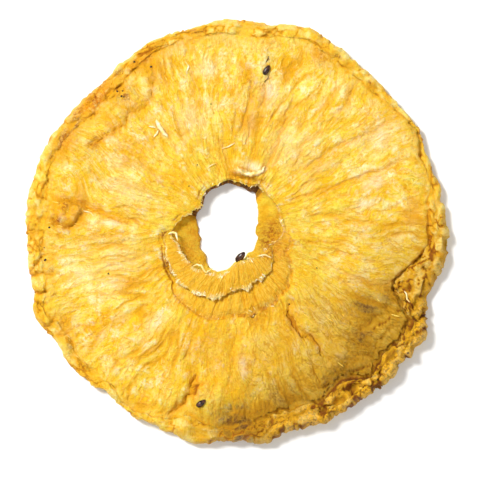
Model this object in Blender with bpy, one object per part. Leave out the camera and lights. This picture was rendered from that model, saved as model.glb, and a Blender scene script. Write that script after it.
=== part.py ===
# A dried pineapple ring, lying on the face that was flat against the drying tray.
#
# The ring starts as a torus and every cross-section of it is redrawn. Going round a
# section from the outer edge, the surface crosses the craggy rim where the skin was
# cut away, drops into the crease behind it, runs over the fibrous flesh, and reaches
# the hole, where the stiff inner margin has curled up into two lips on one side.
# Angles are in degrees, anticlockwise from +X as seen from above.

import math

import bpy
from mathutils import Vector, noise

MM = 0.001

# Dried flesh, as linear red, green and blue
FLESH_COLOUR, FLESH_ROUGHNESS = (0.80, 0.47, 0.07), 0.5

# Driving sizes of the ring
RIM_RADIUS = 45.2 * MM
HOLE_RADIUS = 10.0 * MM
FLESH_HEIGHT = 3.5 * MM
FLESH_DOME = 0.45 * MM
RIM_HEIGHT = 4.3 * MM
RIM_BAND = 2.6 * MM
CREASE_DEPTH = 0.9 * MM

# The hole sits off the centre of the ring, towards this angle
HOLE_OFFSET = 3.0 * MM
HOLE_OFFSET_ANGLE = 165

# The two lips: the angle where each starts and how far round it reaches
LIP_START, LIP_SWEEP = 177, 160
LIP_WIDTH, LIP_RISE = 5.6 * MM, 1.9 * MM
COLLAR_START, COLLAR_SWEEP = 218, 140
COLLAR_WIDTH, COLLAR_RISE = 5.4 * MM, 0.7 * MM
LEAST_WIDTH = 0.5 * MM
LIP_TUCK, LIP_EDGE_DROP, HOLE_EDGE_DROP = 0.6 * MM, 0.55 * MM, 0.2 * MM
COLLAR_STEP = 0.7 * MM

# Uneven relief as (height, waves round the ring, waves per millimetre outwards, seed)
RIM_CRINKLES = ((0.5 * MM, 9, 0, 3.1), (0.35 * MM, 21, 0, 8.3))
CREASE_WANDERS = ((0.6 * MM, 6, 0, 7.7), (0.4 * MM, 17, 0, 4.9))
PLEATS = ((0.45 * MM, 12, 0, 2.2),)
FIBRE_RIDGES = ((0.5 * MM, 3.2, 0.06, 1.3), (0.35 * MM, 11, 0.05, 5.9))
CRAGS = ((0.9 * MM, 15, 0.35, 9.4),)
UNDER_GROOVES = ((0.6 * MM, 8, 0.07, 6.6),)

# Resolution of the torus, and how many rows cross the flesh and the underside
SECTIONS = 172
FLESH_ROWS = 9
UNDER_ROWS = 3

# Where rows cross the rim, as shares of its band in from the edge: the shoulder,
# three along the craggy top, and the back that drops into the crease
RIM_SHOULDER, RIM_TOP_ROWS, RIM_BACK = 0.14, (0.34, 0.56, 0.80), 0.94
# How far the flesh starts from the crease behind it and from the collar's edge
CREASE_SLOPE, COLLAR_GROOVE = 1.1 * MM, 0.4 * MM
# The rounded lower edges, at the hole and at the rim
FOOT_HEIGHT, FOOT_RETURN = 0.5 * MM, 0.9 * MM
UNDER_MARGIN, EDGE_RETURN = 4.5 * MM, 1.2 * MM

# Swells and dents as (centre angle, half width, height): each fades out smoothly
RIM_SWELLS = (
    (22, 9, -0.8 * MM),
    (44, 15, -0.8 * MM),
    (70, 11, 1.7 * MM),
    (90, 15, 0.6 * MM),
    (135, 26, -1.9 * MM),
    (175, 20, 0.3 * MM),
    (204, 11, 1.7 * MM),
    (220, 8, 0.8 * MM),
    (232, 5, -1.0 * MM),
    (259, 9, 1.2 * MM),
    (277, 6, 0.6 * MM),
    (288, 9, -0.6 * MM),
    (328, 12, 0.9 * MM),
    (343, 9, -1.7 * MM),
    (357, 10, 0.9 * MM),
)
LEAST_BAND = 0.9 * MM
BAND_SWELLS = (
    (0, 14, 1.5 * MM),
    (30, 18, -1.9 * MM),
    (90, 12, 1.0 * MM),
    (135, 20, 1.4 * MM),
    (174, 18, 1.8 * MM),
    (194, 10, 0.8 * MM),
    (208, 9, 0.9 * MM),
    (238, 14, -1.4 * MM),
    (257, 9, 2.7 * MM),
    (275, 12, 1.9 * MM),
    (281, 8, 1.2 * MM),
    (292, 14, 2.1 * MM),
    (305, 9, 3.0 * MM),
    (322, 12, 1.4 * MM),
    (331, 8, 1.2 * MM),
    (343, 13, 5.0 * MM),
    (353, 10, 1.6 * MM),
)
RIM_HEIGHT_SWELLS = (
    (30, 34, -1.5 * MM),
    (68, 10, 0.5 * MM),
    (100, 26, -0.5 * MM),
    (140, 24, -0.6 * MM),
    (180, 22, -0.9 * MM),
    (205, 12, 0.5 * MM),
    (236, 14, -1.1 * MM),
    (300, 22, 0.7 * MM),
    (341, 14, 1.3 * MM),
)
CREASE_SWELLS = (
    (25, 40, -0.8 * MM),
    (80, 40, -0.8 * MM),
    (128, 40, -0.8 * MM),
    (178, 26, -0.8 * MM),
    (236, 14, -0.5 * MM),
    (312, 16, 0.5 * MM),
    (341, 14, 0.8 * MM),
)
GROOVE_SWELLS = ((95, 14, 0.5 * MM), (190, 10, 0.5 * MM), (302, 18, 1.0 * MM))
HOLE_SWELLS = (
    (25, 60, 2.5 * MM),
    (355, 26, 1.5 * MM),
    (64, 10, 0.8 * MM),
    (115, 20, -1.0 * MM),
    (146, 32, -3.2 * MM),
    (183, 9, 0.9 * MM),
    (240, 16, -0.7 * MM),
    (275, 36, -2.6 * MM),
    (300, 16, -0.9 * MM),
)
LIP_SWELLS = ((280, 16, 1.0 * MM), (316, 12, -0.6 * MM))
# How far the foot of the hole's wall reaches in under its upper edge, and the height of
# the ledge a third of the way in, as a share of the edge's height
WALL_REACH = 0.4 * MM
WALL_LEDGE = 0.4
WALL_SWELLS = (
    (15, 70, 5.2 * MM),
    (186, 40, 5.3 * MM),
    (219, 20, 2.6 * MM),
    (312, 26, 1.4 * MM),
)
# The open gap between the curled lip and the flesh on the left of the hole
GAP_SWELLS = ((206, 26, 2.3 * MM),)
EDGE_LIFT = 0.25 * MM
EDGE_LIFT_SWELLS = ((30, 26, 0.7 * MM), (135, 26, 0.5 * MM), (234, 14, 0.8 * MM))

# Folds in the flesh, each a line through (angle, radius) points with a depth and half width.
# The first is a flap that stands up behind the hole, so its depth is negative.
FOLDS = (
    (((64, 13.0), (74, 12.5), (84, 12.7), (91, 13.4)), -1.1 * MM, 0.9 * MM),
    (((307, 19), (303, 21.5), (301, 24), (306, 28.5), (305, 34)), 1.3 * MM, 1.3 * MM),
    (((250, 42), (254, 37), (254, 32), (249, 29)), 0.7 * MM, 1.1 * MM),
    (((118, 35), (124, 33.7), (131, 34.6), (136, 33.6), (149, 36)), 0.9 * MM, 1.4 * MM),
    (((168, 40), (169.5, 33), (172, 32), (179, 35.5)), 0.9 * MM, 1.3 * MM),
    (((170, 32), (172, 27), (174, 21)), 0.5 * MM, 1.1 * MM),
    (((66, 34), (65, 28), (66.5, 22), (66, 16)), 0.5 * MM, 1.2 * MM),
    (((40, 31), (40, 22)), 0.4 * MM, 1.1 * MM),
    (((23, 40), (22, 30), (21, 24)), 0.4 * MM, 1.2 * MM),
    (((325, 35), (333, 37)), 0.6 * MM, 1.2 * MM),
)

# Seeds: each is drawn out to a point, sunk in where it lies, and turned to a heading
SEED_SIZE = (2.4 * MM, 1.5 * MM, 1.1 * MM)
SEED_TAPER = 0.35
SEED_SEGMENTS, SEED_RINGS = 8, 5
# Two lie in the flesh, as (angle, radius, heading), with their middles this far above it
FLESH_SEEDS = ((79.3, 35.4 * MM, 60), (258.5, 37.6 * MM, 35))
SEED_RAISE = 0.15 * MM
# One is set in the wall of the hole, as (angle, height, heading, tilt)
WALL_SEED = (279, 2.9 * MM, 20, 12)
WALL_SEED_SINK = 0.3 * MM


def swell(angle, swells):
    """The sum of the swells at an angle, each a raised cosine."""
    total = 0.0
    for centre, half_width, height in swells:
        away = abs((angle - centre + 180) % 360 - 180)
        if away < half_width:
            total += height * math.cos(math.pi / 2 * away / half_width) ** 2
    return total


def arch(angle, start, sweep):
    """Rises steeply from 0 at start to 1, and falls back to 0 after the sweep."""
    along = ((angle - start) % 360) / sweep
    return math.sqrt(math.sin(math.pi * along)) if along < 1 else 0.0


def relief(angle, radius, waves):
    """Uneven relief from smooth noise that closes on itself round the ring."""
    turn = math.radians(angle)
    total = 0.0
    for height, around, outward, seed in waves:
        place = Vector((math.cos(turn) * around, math.sin(turn) * around, radius / MM * outward))
        total += height * noise.noise(place + Vector((seed, seed, seed)))
    return total


def rim_radius(angle):
    """The outer edge, crinkled where the skin was cut away."""
    return RIM_RADIUS + swell(angle, RIM_SWELLS) + relief(angle, 0, RIM_CRINKLES)


def crease_radius(angle):
    """Where the flesh meets the back of the rim."""
    band = RIM_BAND + swell(angle, BAND_SWELLS) + relief(angle, 0, CREASE_WANDERS)
    return rim_radius(angle) - max(band, LEAST_BAND)


def hole_radius(angle):
    """The upper edge of the hole."""
    offset = HOLE_OFFSET * math.cos(math.radians(angle - HOLE_OFFSET_ANGLE))
    return HOLE_RADIUS + offset + swell(angle, HOLE_SWELLS)


def lip_radius(angle):
    """The free edge of the curled lip."""
    curl = LIP_WIDTH * arch(angle, LIP_START, LIP_SWEEP) + swell(angle, LIP_SWELLS)
    return hole_radius(angle) + max(curl, LEAST_WIDTH)


def collar_radius(angle):
    """The outer edge of the lower lip, where the flesh starts."""
    curl = COLLAR_WIDTH * arch(angle, COLLAR_START, COLLAR_SWEEP)
    return lip_radius(angle) + max(curl, LEAST_WIDTH)


def flat_place(angle, radius):
    turn = math.radians(angle)
    return Vector((math.cos(turn) * radius, math.sin(turn) * radius))


def distance_to_fold(place, points):
    """How far a place in plan is from a line through (angle, radius in mm) points."""
    corners = [flat_place(a, r * MM) for a, r in points]
    nearest = 1.0
    for start, end in zip(corners, corners[1:]):
        run = end - start
        along = max(0.0, min(1.0, (place - start).dot(run) / run.dot(run)))
        nearest = min(nearest, (place - start - run * along).length)
    return nearest


def flesh_top(angle, radius):
    """Height of the flesh: a low dome with ridges along the fibres and sunk folds."""
    middle = (RIM_RADIUS + HOLE_RADIUS) / 2
    half_span = (RIM_RADIUS - HOLE_RADIUS) / 2
    height = FLESH_HEIGHT + FLESH_DOME * (1 - ((radius - middle) / half_span) ** 2)
    height += relief(angle, radius, FIBRE_RIDGES)
    place = flat_place(angle, radius)
    for points, depth, half_width in FOLDS:
        away = distance_to_fold(place, points) / half_width
        height -= depth * math.exp(-away * away)
    return height


def rim_stations(angle):
    """The rim from its outer edge in to the bottom of the crease."""
    edge, crease = rim_radius(angle), crease_radius(angle)
    band = edge - crease
    top = RIM_HEIGHT + swell(angle, RIM_HEIGHT_SWELLS)
    middle = (top + EDGE_LIFT + swell(angle, EDGE_LIFT_SWELLS)) / 2
    foot = flesh_top(angle, crease) - CREASE_DEPTH - swell(angle, CREASE_SWELLS)
    shape = [(edge, middle), (edge - RIM_SHOULDER * band, (2 * top + middle) / 3)]
    for row in RIM_TOP_ROWS:
        radius = edge - row * band
        groove = swell(angle, GROOVE_SWELLS) if row == RIM_TOP_ROWS[1] else 0.0
        shape.append((radius, top - groove + relief(angle, radius, CRAGS)))
    shape.append((edge - RIM_BACK * band, (2 * top + foot) / 3))
    shape.append((crease, foot))
    return shape


def hole_stations(angle):
    """The inner margin from the end of the flesh to the foot of the hole's wall."""
    hole, lip, collar = hole_radius(angle), lip_radius(angle), collar_radius(angle)
    curled = arch(angle, LIP_START, LIP_SWEEP)
    raised = arch(angle, COLLAR_START, COLLAR_SWEEP)
    shelf = FLESH_HEIGHT + COLLAR_RISE * raised - swell(angle, GAP_SWELLS)
    top = FLESH_HEIGHT + LIP_RISE * curled
    fold = relief(angle, 0, PLEATS)
    foot = hole - WALL_REACH - swell(angle, WALL_SWELLS)
    groove = collar + COLLAR_GROOVE
    return [
        (groove, flesh_top(angle, groove)),
        (collar, shelf - COLLAR_STEP * raised),
        ((3 * collar + lip) / 4, shelf + fold * raised),
        ((collar + 2 * lip) / 3, shelf + fold * raised),
        (lip - LIP_TUCK * curled, shelf - COLLAR_STEP * curled / 2),
        (lip, top - LIP_EDGE_DROP * curled),
        ((lip + hole) / 2, top + fold * curled),
        (hole, top - LIP_EDGE_DROP * curled - HOLE_EDGE_DROP),
        ((2 * hole + foot) / 3, WALL_LEDGE * top),
        (foot, FOOT_HEIGHT),
        (foot + FOOT_RETURN, 0.0),
    ]


def under_stations(angle, inner):
    """The underside out to the edge: flat on the tray with shrinkage grooves in it."""
    edge = rim_radius(angle)
    outer = edge - UNDER_MARGIN
    shape = []
    for row in range(1, UNDER_ROWS + 1):
        radius = inner + (outer - inner) * row / UNDER_ROWS
        shape.append((radius, max(0.0, relief(angle, radius, UNDER_GROOVES))))
    shape.append((edge - EDGE_RETURN, EDGE_LIFT + swell(angle, EDGE_LIFT_SWELLS)))
    return shape


def section(angle):
    """One closed cross-section as (radius, height) points, from the outer edge inwards."""
    rim = rim_stations(angle)
    margin = hole_stations(angle)
    outer, inner = rim[-1][0] - CREASE_SLOPE, margin[0][0]
    flesh = []
    for row in range(FLESH_ROWS):
        radius = outer + (inner - outer) * row / FLESH_ROWS
        flesh.append((radius, flesh_top(angle, radius)))
    return rim + flesh + margin + under_stations(angle, margin[-1][0])


def outline_centre():
    """Centre of the outline's bounding box, which becomes the origin."""
    edge = [flat_place(a, rim_radius(a)) for a in range(360)]
    return Vector((
        (min(p.x for p in edge) + max(p.x for p in edge)) / 2,
        (min(p.y for p in edge) + max(p.y for p in edge)) / 2,
        0.0,
    ))


def material(name, colour, roughness):
    made = bpy.data.materials.new(name)
    made.use_nodes = True
    shader = made.node_tree.nodes["Principled BSDF"]
    shader.inputs["Base Color"].default_value = (*colour, 1)
    shader.inputs["Roughness"].default_value = roughness
    shader.inputs["Metallic"].default_value = 0
    made.diffuse_color = (*colour, 1)
    return made


def make_ring(centre):
    """The torus, with each of its sections redrawn."""
    rows = len(section(0))
    bpy.ops.mesh.primitive_torus_add(
        major_segments=SECTIONS,
        minor_segments=rows,
        major_radius=(RIM_RADIUS + HOLE_RADIUS) / 2,
        minor_radius=(RIM_RADIUS - HOLE_RADIUS) / 2,
    )
    ring = bpy.context.object
    ring.name = "pineapple_ring"
    for index in range(SECTIONS):
        angle = 360 * index / SECTIONS
        for row, (radius, height) in enumerate(section(angle)):
            place = flat_place(angle, radius)
            ring.data.vertices[index * rows + row].co = Vector((*place, height)) - centre
    ring.data.materials.append(material("dried_pineapple", FLESH_COLOUR, FLESH_ROUGHNESS))
    ring.data.shade_smooth()
    return ring


def make_seed(place, heading, tilt=0):
    """A flattened, pointed seed as a low sphere drawn out along its length."""
    bpy.ops.mesh.primitive_uv_sphere_add(segments=SEED_SEGMENTS, ring_count=SEED_RINGS, radius=0.5)
    seed = bpy.context.object
    for vertex in seed.data.vertices:
        vertex.co.y *= 1 - SEED_TAPER * (vertex.co.x + 0.5)
    seed.scale = SEED_SIZE
    bpy.ops.object.transform_apply(location=False, rotation=False)
    seed.rotation_euler = (0, math.radians(tilt), math.radians(heading))
    seed.location = place
    return seed


def make_seeds(centre):
    """The two seeds in the flesh and the one in the wall of the hole."""
    made = []
    for angle, radius, heading in FLESH_SEEDS:
        spot = flat_place(angle, radius).to_3d() - centre
        spot.z = flesh_top(angle, radius) + SEED_RAISE
        made.append(make_seed(spot, heading))
    angle, height, heading, tilt = WALL_SEED
    spot = flat_place(angle, hole_radius(angle) - WALL_SEED_SINK).to_3d() - centre
    spot.z = height
    made.append(make_seed(spot, heading, tilt))
    return made


def fuse(ring, made):
    """Joins the seeds to the ring as one solid, with one Boolean union on their collection."""
    seeds = bpy.data.collections.new("seeds")
    bpy.context.scene.collection.children.link(seeds)
    for seed in made:
        for home in list(seed.users_collection):
            home.objects.unlink(seed)
        seeds.objects.link(seed)
    union = ring.modifiers.new("seeds", "BOOLEAN")
    union.operation = "UNION"
    union.operand_type = "COLLECTION"
    union.collection = seeds
    union.solver = "EXACT"
    bpy.context.view_layer.objects.active = ring
    bpy.ops.object.modifier_apply(modifier=union.name)
    for seed in made:
        bpy.data.objects.remove(seed)
    bpy.data.collections.remove(seeds)


def main():
    for thing in list(bpy.data.objects):
        bpy.data.objects.remove(thing)
    home = bpy.data.collections.new("dried_pineapple_ring")
    bpy.context.scene.collection.children.link(home)
    centre = outline_centre()
    ring = make_ring(centre)
    fuse(ring, make_seeds(centre))
    for old in list(ring.users_collection):
        old.objects.unlink(ring)
    home.objects.link(ring)


main()
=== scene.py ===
import math
import random

import bmesh
import bpy
import numpy as np
from mathutils import Matrix, Vector, noise


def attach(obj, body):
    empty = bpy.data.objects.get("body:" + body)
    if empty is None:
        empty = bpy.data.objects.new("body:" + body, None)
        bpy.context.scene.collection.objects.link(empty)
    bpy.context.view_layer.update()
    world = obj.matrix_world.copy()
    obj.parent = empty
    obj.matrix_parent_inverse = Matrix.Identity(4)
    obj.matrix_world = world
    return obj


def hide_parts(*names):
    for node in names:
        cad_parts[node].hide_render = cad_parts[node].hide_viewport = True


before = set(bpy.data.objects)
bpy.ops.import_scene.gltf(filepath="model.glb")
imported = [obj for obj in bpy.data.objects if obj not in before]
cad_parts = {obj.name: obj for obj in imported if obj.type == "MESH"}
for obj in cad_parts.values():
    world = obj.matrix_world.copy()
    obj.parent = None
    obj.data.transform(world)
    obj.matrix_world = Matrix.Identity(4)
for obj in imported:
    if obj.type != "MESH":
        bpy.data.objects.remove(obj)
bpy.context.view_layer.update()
mm = 0.001
print("frame loaded", list(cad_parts))


# The body of the ring: the sizes that its solid has, and how finely it is drawn here
ring = {
    "rimRadius": 45.2, "holeRadius": 10.0,
    "fleshHeight": 3.5, "fleshDome": 0.45,
    "rimHeight": 4.3, "rimBand": 2.6, "leastBand": 0.9, "creaseDepth": 0.9,
    "holeOffset": 3.0, "holeOffsetAngle": 165,
    "lipStart": 177, "lipSweep": 160, "lipWidth": 5.6, "lipRise": 1.9,
    "collarStart": 218, "collarSweep": 140, "collarWidth": 5.4, "collarRise": 0.7,
    "leastWidth": 0.5, "lipTuck": 0.6, "lipEdgeDrop": 0.55, "holeEdgeDrop": 0.2, "collarStep": 0.7,
    "creaseSlope": 0.6, "collarGroove": 0.4,
    "footHeight": 0.5, "footReturn": 0.9, "underMargin": 4.5, "edgeReturn": 1.2,
    "wallReach": 0.4, "edgeLift": 0.25,
    "rimShoulder": 0.14, "leastDepth": 0.1, "leastStand": 0.1,
    "rimTopRows": (0.34, 0.56, 0.80), "rimBack": 0.94,
    "sections": 780,
    "curveEase": 0.35,
    "rimSpans": (3, 4, 4, 4, 3, 3),
    "slopeRows": 3,
    "fleshRows": 52,
    "marginSpans": (2, 3, 4, 3, 3, 5, 5, 5, 5, 2),
    "underSpans": (3, 3, 3, 2, 2),
}

# Swells and dents along the ring, as (middle angle, half width, height). "fill" makes the rim's crease
# shallower, "slope" makes it wider, and "stand" is how far the rim's top may rise above it
swells = {
    "rim": (
        (22, 9, -0.8), (44, 15, -0.8), (70, 11, 1.7), (90, 15, 0.6), (135, 26, -1.9),
        (175, 20, 0.3), (204, 11, 1.7), (220, 8, 0.8), (232, 5, -1.0), (259, 9, 1.2),
        (277, 6, 0.6), (288, 9, -0.6), (328, 12, 0.9), (343, 9, -1.7), (357, 10, 0.9),
    ),
    "band": (
        (0, 14, 1.5), (30, 18, -1.9), (90, 12, 1.0), (135, 20, 1.4), (174, 18, 1.8),
        (194, 10, 0.8), (208, 9, 0.9), (238, 14, -1.4), (257, 9, 2.7), (275, 12, 1.9),
        (281, 8, 1.2), (292, 14, 2.1), (305, 9, 3.0), (322, 12, 1.4), (331, 8, 1.2),
        (343, 13, 5.0), (353, 10, 1.6),
    ),
    "rimHeight": (
        (30, 34, -1.5), (68, 10, 0.5), (100, 26, -0.5), (140, 24, -0.6),
        (180, 22, -0.9), (205, 12, 0.5), (236, 14, -1.1), (300, 22, 0.7), (341, 14, 1.3),
    ),
    "crease": (
        (25, 40, -0.8), (80, 40, -0.8), (128, 40, -0.8), (178, 26, -0.8),
        (236, 14, -0.5), (312, 16, 0.5), (341, 14, 0.8),
    ),
    "groove": ((95, 14, 0.5), (190, 10, 0.1), (302, 18, 1.0)),
    "hole": (
        (25, 60, 2.5), (355, 26, 1.5), (64, 10, 0.8), (115, 20, -1.0), (146, 32, -3.2),
        (183, 9, 0.9), (240, 16, -0.7), (275, 36, -2.6), (300, 16, -0.9),
    ),
    "lip": ((280, 16, 1.0), (297, 11, 0.9)),
    "wall": (
        (15, 70, 5.2), (186, 40, 5.3), (219, 20, 2.6), (312, 26, 1.4),
        (193, 10, -0.6), (20, 14, -0.5), (356, 16, 0.8),
    ),
    "gap": ((211, 21, 0.4),),
    "edgeLift": ((30, 26, 0.7), (135, 26, 0.5), (234, 14, 0.8)),
    "fill": (
        (130, 44, 0.8), (156, 20, 0.6), (200, 34, 0.8), (245, 28, 0.9),
        (45, 40, 0.8), (85, 20, 0.5), (266, 16, 0.9),
    ),
    "slope": ((120, 60, 0.9), (190, 36, 0.8), (50, 50, 0.7), (245, 26, 0.9)),
    "stand": ((308, 78, 3.0), (205, 14, 0.25), (68, 10, 0.3), (266, 15, -1.0)),
}

# Uneven relief, as (height, waves round the ring, waves per millimetre outwards, seed)
waves = {
    "rim": ((0.5, 9, 0, 3.1), (0.35, 21, 0, 8.3)),
    "crease": ((0.6, 6, 0, 7.7), (0.4, 17, 0, 4.9)),
    "pleat": ((0.45, 12, 0, 2.2),),
    "flesh": ((0.5, 3.2, 0.06, 1.3), (0.35, 11, 0.05, 5.9)),
    "crag": ((0.9, 15, 0.35, 9.4),),
    "under": ((0.6, 8, 0.07, 6.6),),
}

# Folds in the flesh, as a line through (angle, radius) points, a depth and a half width
folds = (
    (((64, 13), (74, 12.5), (84, 12.7), (91, 13.4)), -1.1, 0.9),  # the flap behind the hole
    (((307, 19), (303, 21.5), (301, 24), (306, 28.5), (305, 34)), 0.8, 1),  # the open split
    (((250, 42), (254, 37), (254, 32), (249, 29)), 0.7, 1.1),
    (((118, 35), (124, 33.7), (131, 34.6), (136, 33.6), (149, 36)), 0.15, 1),
    (((168, 40), (169.5, 33), (172, 32), (179, 35.5)), 0.5, 1.1),
    (((170, 32), (172, 27), (174, 21)), 0.5, 1.1),
    (((66, 34), (65, 28), (66.5, 22), (66, 16)), 0.5, 1.2),
    (((40, 31), (40, 22)), 0.4, 1.1),
    (((23, 40), (22, 30), (21, 24)), 0.4, 1.2),
    (((325, 35), (333, 37)), 0.6, 1.2),
)


def window(angle, middle, halfWidth):
    # 1 at the middle angle, falling to 0 at the half width
    away = np.abs((angle - middle + 180) % 360 - 180) / halfWidth
    return np.cos(np.pi / 2 * np.minimum(away, 1)) ** 2


def swell(angle, kind):
    return sum(height * window(angle, middle, halfWidth) for middle, halfWidth, height in swells[kind])


def arch(angle, start, sweep):
    along = ((angle - start) % 360) / sweep
    return np.sqrt(np.sin(np.pi * np.clip(along, 0, 1)).clip(0, 1)) * (along < 1)


def lipShare(angle):
    return arch(angle, ring["lipStart"], ring["lipSweep"])


def collarShare(angle):
    return arch(angle, ring["collarStart"], ring["collarSweep"])


def noiseAt(x, y, z, seed):
    x, y, z = np.broadcast_arrays(x, y, z)
    places = zip(x.ravel() + seed, y.ravel() + seed, z.ravel() + seed)
    values = [noise.noise(Vector(place)) for place in places]
    return np.array(values).reshape(x.shape)


def turnNoise(angle, radius, around, outward, seed):
    turn = np.radians(angle)
    return noiseAt(np.cos(turn) * around, np.sin(turn) * around, radius * outward, seed)


def wave(angle, radius, kind):
    return sum(height * turnNoise(angle, radius, *shape) for height, *shape in waves[kind])


def rimRadius(angle):
    return ring["rimRadius"] + swell(angle, "rim") + wave(angle, 0, "rim")


def creaseRadius(angle):
    band = ring["rimBand"] + swell(angle, "band") + wave(angle, 0, "crease")
    return rimRadius(angle) - np.maximum(band, ring["leastBand"])


def holeRadius(angle):
    offset = ring["holeOffset"] * np.cos(np.radians(angle - ring["holeOffsetAngle"]))
    return ring["holeRadius"] + offset + swell(angle, "hole")


def lipRadius(angle):
    curl = ring["lipWidth"] * lipShare(angle) + swell(angle, "lip")
    return holeRadius(angle) + np.maximum(curl, ring["leastWidth"])


def collarRadius(angle):
    curl = ring["collarWidth"] * collarShare(angle)
    return lipRadius(angle) + np.maximum(curl, ring["leastWidth"])


def flatPlace(angle, radius):
    turn = np.radians(angle)
    return radius * np.cos(turn), radius * np.sin(turn)


def distanceToLine(x, y, points):
    corners = [np.array(flatPlace(*point)) for point in points]
    nearest = np.full(np.shape(x), 1e6)
    for start, end in zip(corners, corners[1:]):
        runX, runY = end - start
        along = ((x - start[0]) * runX + (y - start[1]) * runY) / (runX**2 + runY**2)
        along = np.clip(along, 0, 1)
        nearest = np.minimum(nearest, np.hypot(x - start[0] - runX * along, y - start[1] - runY * along))
    return nearest


def fleshTop(angle, radius):
    middle = (ring["rimRadius"] + ring["holeRadius"]) / 2
    halfSpan = (ring["rimRadius"] - ring["holeRadius"]) / 2
    height = ring["fleshHeight"] + ring["fleshDome"] * (1 - ((radius - middle) / halfSpan) ** 2)
    height += wave(angle, radius, "flesh")
    x, y = flatPlace(angle, radius)
    for points, depth, halfWidth in folds:
        away = distanceToLine(x, y, points) / halfWidth
        height -= depth * np.exp(-away * away)
    return height


def stationList(*pairs):
    # each station as radius and height, one for each angle
    return np.array([np.broadcast_arrays(*pair) for pair in pairs]).transpose(0, 2, 1)


def rimStations(angle):
    edge, crease = rimRadius(angle), creaseRadius(angle)
    band = edge - crease
    depth = ring["creaseDepth"] + swell(angle, "crease") - swell(angle, "fill")
    foot = fleshTop(angle, crease) - np.maximum(depth, ring["leastDepth"])
    top = ring["rimHeight"] + swell(angle, "rimHeight")
    top = np.minimum(top, foot + ring["leastStand"] + swell(angle, "stand"))
    middle = (top + ring["edgeLift"] + swell(angle, "edgeLift")) / 2
    shape = [(edge, middle), (edge - ring["rimShoulder"] * band, (2 * top + middle) / 3)]
    for row in ring["rimTopRows"]:
        radius = edge - row * band
        groove = swell(angle, "groove") if row == ring["rimTopRows"][1] else 0.0
        shape.append((radius, top - groove + wave(angle, radius, "crag")))
    shape.append((edge - ring["rimBack"] * band, (2 * top + foot) / 3))
    shape.append((crease, foot))
    return stationList(*shape)


def marginStations(angle):
    hole, lip, collar = holeRadius(angle), lipRadius(angle), collarRadius(angle)
    curled, raised = lipShare(angle), collarShare(angle)
    shelf = ring["fleshHeight"] + ring["collarRise"] * raised - swell(angle, "gap")
    top = ring["fleshHeight"] + ring["lipRise"] * curled
    fold = wave(angle, 0, "pleat")
    foot = hole - ring["wallReach"] - swell(angle, "wall")
    groove = collar + ring["collarGroove"]
    edgeDrop = ring["lipEdgeDrop"] * curled
    return stationList(
        (groove, fleshTop(angle, groove)),
        (collar, shelf - ring["collarStep"] * raised),
        ((3 * collar + lip) / 4, shelf + fold * raised),
        ((collar + 2 * lip) / 3, shelf + fold * raised),
        (lip - ring["lipTuck"] * curled, shelf - ring["collarStep"] * curled / 2),
        (lip, top - edgeDrop),
        ((lip + hole) / 2, top + fold * curled),
        (hole, top - edgeDrop - ring["holeEdgeDrop"]),
        ((2 * hole + foot) / 3, 0.4 * top),
        (foot, ring["footHeight"]),
        (foot + ring["footReturn"], 0.0),
    )


def underStations(angle, inner):
    edge = rimRadius(angle)
    outer = edge - ring["underMargin"]
    shape = []
    for row in range(1, 4):
        radius = inner + (outer - inner) * row / 3
        shape.append((radius, np.maximum(0.0, wave(angle, radius, "under"))))
    shape.append((edge - ring["edgeReturn"], ring["edgeLift"] + swell(angle, "edgeLift")))
    return stationList(*shape)


def smoothPath(stations, spans):
    # rows on a gentle curve through the stations, without the last station
    ahead = np.concatenate([stations[1:], stations[-1:]])
    behind = np.concatenate([stations[:1], stations[:-1]])
    slope = (ahead - behind) * ring["curveEase"]
    rows = []
    for index, count in enumerate(spans):
        for step in range(count):
            t = step / count
            rows.append(
                (2 * t**3 - 3 * t**2 + 1) * stations[index] + (t**3 - 2 * t**2 + t) * slope[index]
                + (3 * t**2 - 2 * t**3) * stations[index + 1] + (t**3 - t**2) * slope[index + 1]
            )
    return np.array(rows)


def ringRows(angle):
    # radius and height of every row at every angle, from the outer edge over the top and back under
    rim, margin = rimStations(angle), marginStations(angle)
    outer = rim[-1, :, 0] - ring["creaseSlope"] - swell(angle, "slope")
    inner = margin[0, :, 0]
    flesh = []
    for step in range(ring["fleshRows"]):
        radius = outer + (inner - outer) * step / ring["fleshRows"]
        flesh.append(stationList((radius, fleshTop(angle, radius)))[0])
    slope = smoothPath(np.array([rim[-1], flesh[0]]), (ring["slopeRows"],))
    under = np.concatenate([margin[-1:], underStations(angle, margin[-1, :, 0]), rim[:1]])
    parts = {
        "rim": smoothPath(rim, ring["rimSpans"]),
        "slope": slope,
        "flesh": np.array(flesh),
        "margin": smoothPath(margin, ring["marginSpans"]),
        "under": smoothPath(under, ring["underSpans"]),
    }
    rows = {}
    first = 0
    for name, part in parts.items():
        rows[name] = slice(first, first + len(part))
        first += len(part)
    return np.concatenate(list(parts.values())), rows


# What is finer than the solid: fibres, pleats, crust and creases, heights in millimetres
relief = {
    "swell": 0.5, "bundle": 0.27, "thread": 0.13, "crumple": 0.34, "wrinkle": 0.2,
    "gather": 1.0, "sag": 0.7, "fold": 1.1, "crag": 1.1, "chip": 0.7, "facet": 1.5,
    "across": 0.75, "seam": 0.4, "rib": 0.26, "stria": 0.16, "pit": 0.45, "wallStria": 0.08,
    "tooth": 0.8, "fineTooth": 0.64, "underCut": 0.9, "under": 0.3,
}

# Noise over the plan, as waves per millimetre and a seed
flatNoises = {
    "wideDrift": (0.05, 21.7), "drift": (0.15, 4.4), "fineDrift": (0.4, 14.4),
    "wobbleX": (0.5, 8.1), "wobbleY": (0.5, 15.2), "ledge": (0.35, 12.6),
    "wideSwell": (0.08, 91.1), "swell": (0.17, 33.3), "furrowed": (0.10, 41.5),
    "threaded": (0.14, 57.1), "crumple": (0.38, 2.8), "wrinkle": (0.85, 72.2),
    "ochre": (0.12, 17.5), "strand": (0.12, 3.7),
}

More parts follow.
